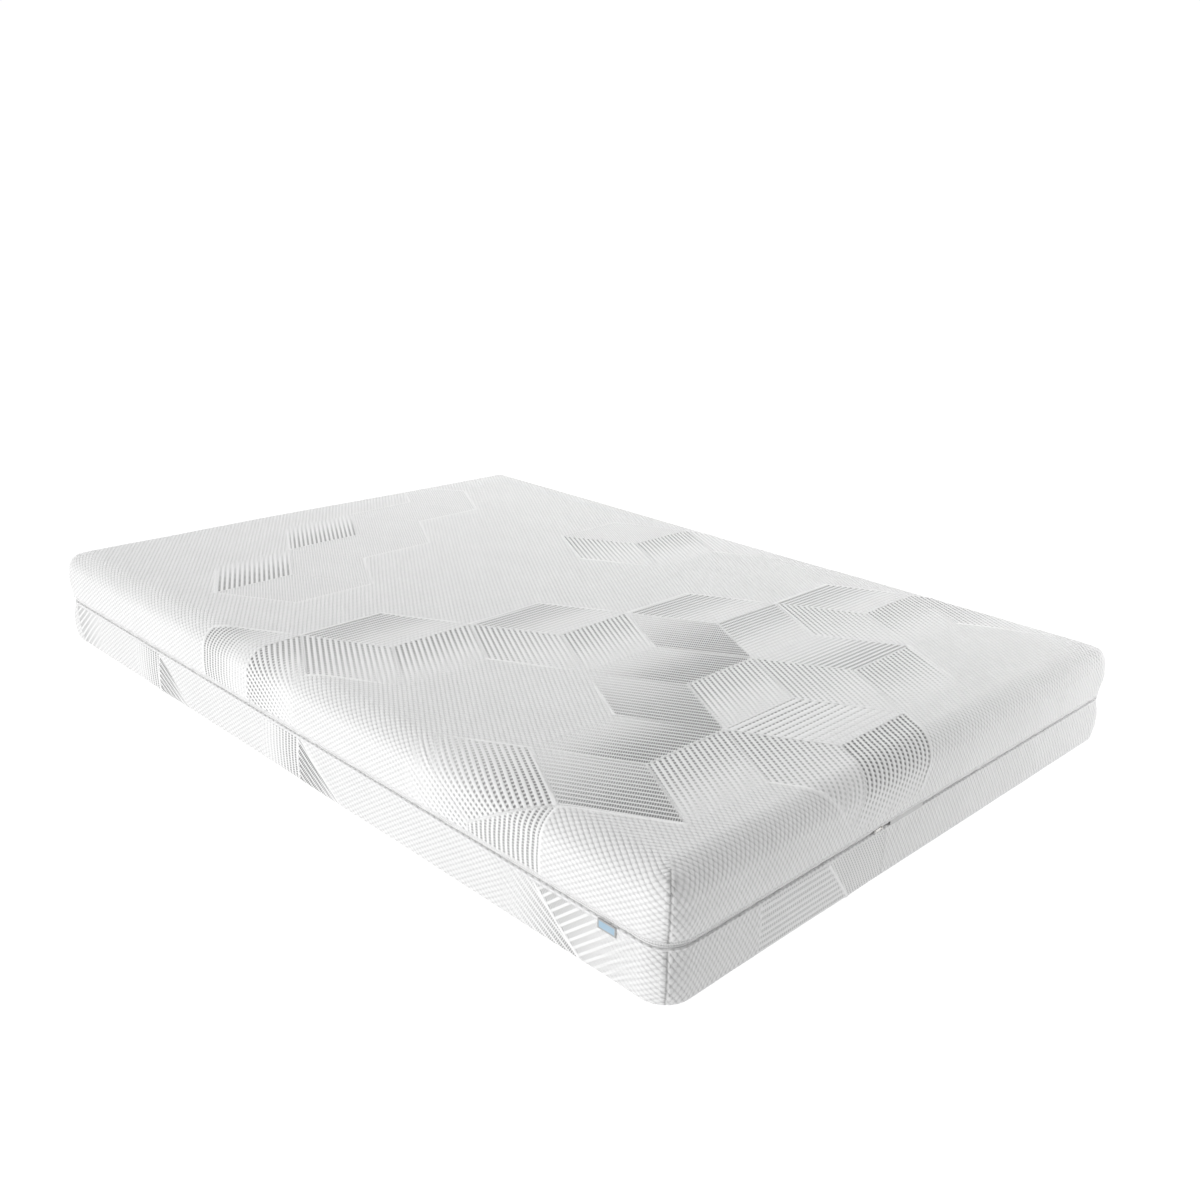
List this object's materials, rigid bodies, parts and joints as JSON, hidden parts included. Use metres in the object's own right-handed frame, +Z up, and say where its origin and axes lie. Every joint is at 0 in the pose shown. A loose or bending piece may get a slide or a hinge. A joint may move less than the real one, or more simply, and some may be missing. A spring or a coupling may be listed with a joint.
{
  "type": "memory foam mattress",
  "caption": "Double memory foam mattress with a foam core inside a zip-off two-half knit cover, resting on its flat underside.",
  "frame": {"origin": "centre of the underside, on the surface that the mattress lies on", "axes": "+Z up, +X along the length towards the foot end with the zip slider, +Y across the width; the side label hangs on the -Y side"},
  "size_m": [2, 1.4, 0.22],
  "materials": {
    "upper_cover": "raised white knit",
    "lower_cover": "raised white knit",
    "zip_tape": "woven grey tape",
    "zip_coil": "grey nylon coil",
    "zip_metal": "satin grey",
    "side_label": "smooth woven label, blank",
    "memory_foam": "dense open-cell foam",
    "support_foam": "coarse open-cell foam"
  },
  "bodies": {
    "lower_cover": {"lower_cover": "lower_cover", "lower_zip_tape": "zip_tape", "lower_zip_coil": "zip_coil", "zip_start_stop": "zip_metal", "zip_end_stop": "zip_metal", "zip_garage": "lower_cover"},
    "foam_core": {"support_core": "support_foam", "memory_foam_layer": "memory_foam"},
    "upper_cover": {"upper_cover": "upper_cover", "upper_zip_tape": "zip_tape", "upper_zip_coil": "zip_coil"},
    "zip_slider": {"zip_slider": "zip_metal"},
    "zip_puller": {"zip_puller": "zip_metal"},
    "side_label": {"side_label": "side_label"}
  },
  "joints": [
    {"name": "core_lift", "type": "slide", "parent": "lower_cover", "child": "foam_core", "axis": [0, 0, 1], "range_m": [0, 0.25]},
    {"name": "cover_lift", "type": "slide", "parent": "foam_core", "child": "upper_cover", "axis": [0, 0, 1], "range_m": [0, 0.3]},
    {"name": "zip_travel", "type": "slide", "parent": "lower_cover", "child": "zip_slider", "axis": [0, -1, 0], "range_m": [0, 0.44]},
    {"name": "puller_swing", "type": "hinge", "parent": "zip_slider", "child": "zip_puller", "pos_m": [0.9986, -0.165, 0.104], "axis": [0, 0, 1], "range_deg": [0, 170]},
    {"name": "label_flip", "type": "hinge", "parent": "lower_cover", "child": "side_label", "pos_m": [0.878, -0.69925, 0.1], "axis": [-1, 0, 0], "range_deg": [0, 150]}
  ]
}
